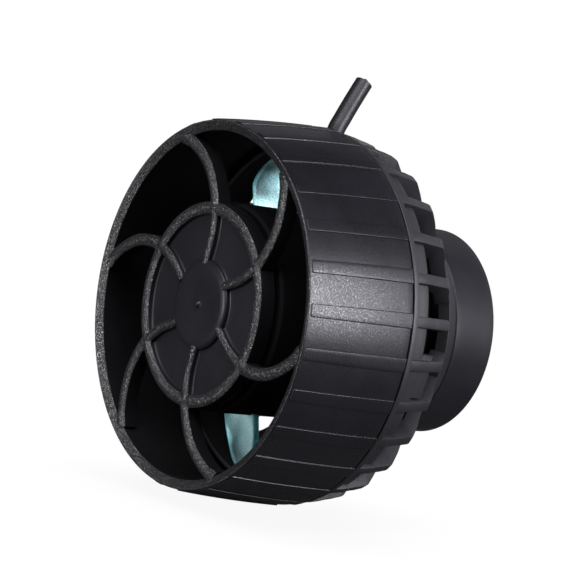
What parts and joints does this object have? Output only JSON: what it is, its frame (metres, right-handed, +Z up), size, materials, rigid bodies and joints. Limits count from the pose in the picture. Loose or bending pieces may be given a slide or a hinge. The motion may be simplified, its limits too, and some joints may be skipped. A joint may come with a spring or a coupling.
{
  "type": "wave maker pump",
  "caption": "Round magnet-mounted aquarium circulation pump: ribbed outlet ring with a curved-spoke grille, propeller, finned intake cage, motor and rear magnet cup with cable.",
  "frame": {"origin": "centre of the flat rubber pad that rests on the aquarium glass", "axes": "+Y along the pump axis towards the glass, water leaves towards -Y; +Z up, on the side where the cable leaves"},
  "size_m": [0.105, 0.0825, 0.1204],
  "materials": {
    "ring_plastic": "black moulded plastic with a fine satin spark-eroded grain",
    "black_plastic": "black moulded plastic, semi-matt",
    "cup_plastic": "smooth satin black plastic",
    "propeller_plastic": "frosted translucent aqua plastic",
    "rubber": "matt black rubber",
    "cable_jacket": "smooth black cable jacket",
    "bushing_ceramic": "polished off-white ceramic",
    "magnet": "dull nickel-plated magnet",
    "steel": "bare steel",
    "copper": "enamelled copper winding",
    "board": "green circuit board"
  },
  "bodies": {
    "pump_body": {"intake_cage": "black_plastic", "motor_housing": "black_plastic", "stator_core": "steel", "stator_coil_1": "copper", "stator_coil_2": "copper", "stator_coil_3": "copper", "stator_coil_4": "copper", "stator_coil_5": "copper", "stator_coil_6": "copper", "drive_board": "board", "potting_plug": "black_plastic", "ceramic_shaft": "bushing_ceramic", "rear_shaft_cushion": "rubber", "housing_seal": "rubber", "housing_cover": "black_plastic", "cover_screw_1": "steel", "cover_screw_2": "steel", "cover_screw_3": "steel", "cover_screw_4": "steel", "magnet_yoke": "steel", "mount_magnet": "magnet", "rear_cup": "cup_plastic", "glass_pad": "rubber", "cable_gland": "rubber", "power_cable": "cable_jacket"},
    "shroud": {"front_shroud": "ring_plastic", "front_shaft_cushion": "rubber"},
    "rotor": {"propeller": "propeller_plastic", "propeller_hub": "black_plastic", "front_bushing": "bushing_ceramic", "front_thrust_washer": "bushing_ceramic", "rotor_carrier": "black_plastic", "rotor_magnet": "magnet", "rear_bushing": "bushing_ceramic", "rear_thrust_washer": "bushing_ceramic"}
  },
  "joints": [
    {"name": "shroud_twist", "type": "hinge", "parent": "pump_body", "child": "shroud", "pos_m": [0, -0.052, 0], "axis": [0, -1, 0], "range_deg": [0, 15]},
    {"name": "rotor_spin", "type": "hinge", "parent": "pump_body", "child": "rotor", "pos_m": [0, -0.06, 0], "axis": [0, -1, 0], "continuous": true}
  ]
}
